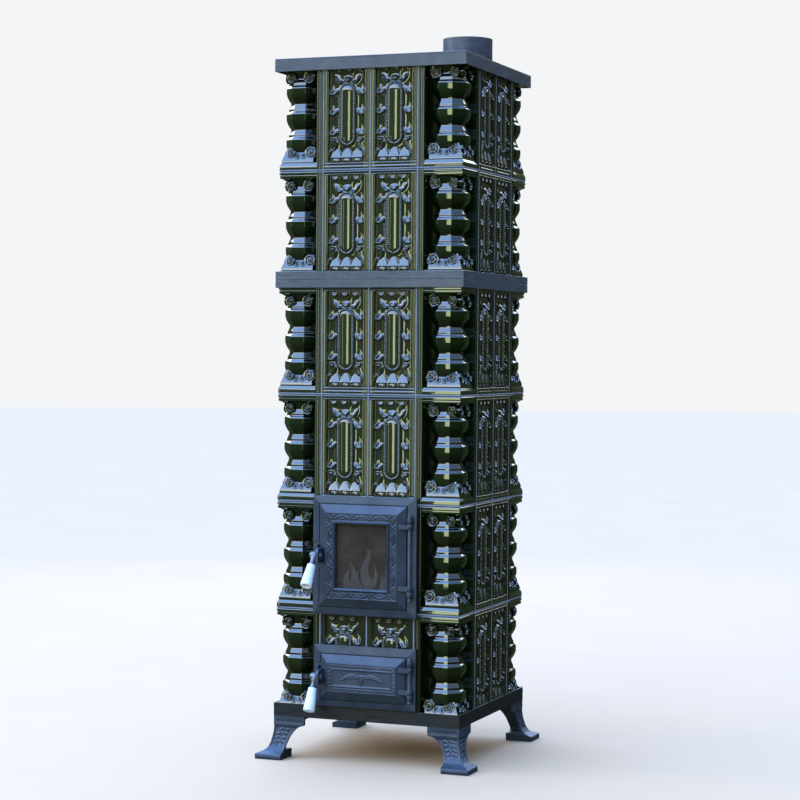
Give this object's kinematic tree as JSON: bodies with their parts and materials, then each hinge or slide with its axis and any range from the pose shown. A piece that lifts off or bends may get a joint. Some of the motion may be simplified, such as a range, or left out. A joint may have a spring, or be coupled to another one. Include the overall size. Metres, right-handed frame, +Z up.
{
  "type": "wood burning stove",
  "caption": "Tall square wood stove of glazed relief tiles in steel frames on splayed cast legs, with a glazed fire door, an ash door and a round flue collar.",
  "frame": {"origin": "on the floor, at the centre of the whole object's footprint; the stove's own axis stands 32.5 mm behind it, because the door handles reach forward", "axes": "+Z up, -Y the way the doors face, +X to the right seen from the front"},
  "size_m": [0.522, 0.5858, 1.685],
  "materials": {
    "cast_iron": "satin, fine sand-cast grain",
    "painted_steel": "satin heat-resistant paint",
    "green_glaze": "very glossy dark bottle green glaze, brown where it runs thin on edges",
    "porcelain": "glossy white porcelain",
    "stove_glass": "smoked heat-resistant glass",
    "flame_grey": "matt grey",
    "rope_seal": "woven glass rope",
    "firebrick": "matt",
    "clay": "matt",
    "mortar": "matt, fine grained",
    "pan_steel": "folded sheet, scuffed",
    "bright_steel": "zinc plated",
    "forged_steel": "black oxide, bright where the parts rub"
  },
  "bodies": {
    "stove": {"leg_front_left": "cast_iron", "leg_front_right": "cast_iron", "leg_back_left": "cast_iron", "leg_back_right": "cast_iron", "leg_bolts": "bright_steel", "base_frame": "painted_steel", "base_plate": "painted_steel", "lower_top_frame": "painted_steel", "upper_base_frame": "painted_steel", "top_frame": "painted_steel", "top_plate": "painted_steel", "flue_collar": "painted_steel", "hearth_bricks": "firebrick", "firebox_floor": "firebrick", "grate": "cast_iron", "firebrick_walls": "firebrick", "firebrick_front": "firebrick", "lower_baffle": "firebrick", "upper_lining": "clay", "upper_baffle": "firebrick", "mortar_joints": "mortar", "door_surround": "clay", "corner_tiles_row_1": "green_glaze", "corner_tiles_row_2": "green_glaze", "corner_tiles_row_3": "green_glaze", "corner_tiles_row_4": "green_glaze", "corner_tiles_row_5": "green_glaze", "corner_tiles_row_6": "green_glaze", "front_tiles_row_1": "green_glaze", "front_tiles_row_3": "green_glaze", "front_tiles_row_4": "green_glaze", "front_tiles_row_5": "green_glaze", "front_tiles_row_6": "green_glaze", "wall_tiles_row_1": "green_glaze", "wall_tiles_row_2": "green_glaze", "wall_tiles_row_3": "green_glaze", "wall_tiles_row_4": "green_glaze", "wall_tiles_row_5": "green_glaze", "wall_tiles_row_6": "green_glaze", "fire_door_frame": "cast_iron", "fire_door_hinge_rod": "forged_steel", "ash_door_frame": "cast_iron", "ash_door_hinge_rod": "forged_steel"},
    "fire_door": {"fire_door": "cast_iron", "fire_door_glass": "stove_glass", "glass_clips": "bright_steel", "fire_door_seal": "rope_seal", "flame_screen": "flame_grey", "fire_door_lever_pin": "forged_steel"},
    "fire_door_latch": {"fire_door_lever": "forged_steel", "fire_door_grip": "porcelain"},
    "ash_door": {"ash_door": "cast_iron", "ash_door_lever_pin": "forged_steel"},
    "ash_door_latch": {"ash_door_lever": "forged_steel", "ash_door_grip": "porcelain"},
    "ash_pan": {"ash_pan": "pan_steel", "ash_pan_handle": "pan_steel"}
  },
  "joints": [
    {"name": "fire_door_swing", "type": "hinge", "parent": "stove", "child": "fire_door", "pos_m": [0.114, -0.219, 0.4755], "axis": [0, 0, 1], "range_deg": [0, 120]},
    {"name": "fire_door_latch_turn", "type": "hinge", "parent": "fire_door", "child": "fire_door_latch", "pos_m": [-0.111, -0.235, 0.4765], "axis": [-1, 0, 0], "range_deg": [-12, 65]},
    {"name": "ash_door_swing", "type": "hinge", "parent": "stove", "child": "ash_door", "pos_m": [0.114, -0.213, 0.1975], "axis": [0, 0, 1], "range_deg": [0, 120]},
    {"name": "ash_door_latch_turn", "type": "hinge", "parent": "ash_door", "child": "ash_door_latch", "pos_m": [-0.111, -0.229, 0.199], "axis": [-1, 0, 0], "range_deg": [-12, 65]},
    {"name": "ash_pan_slide", "type": "slide", "parent": "stove", "child": "ash_pan", "axis": [0, -1, 0], "range_m": [0, 0.15]}
  ],
  "couplings": [
    {"joint": "ash_pan_slide", "follows": "ash_door_swing", "m_per_rad": 0.07}
  ]
}
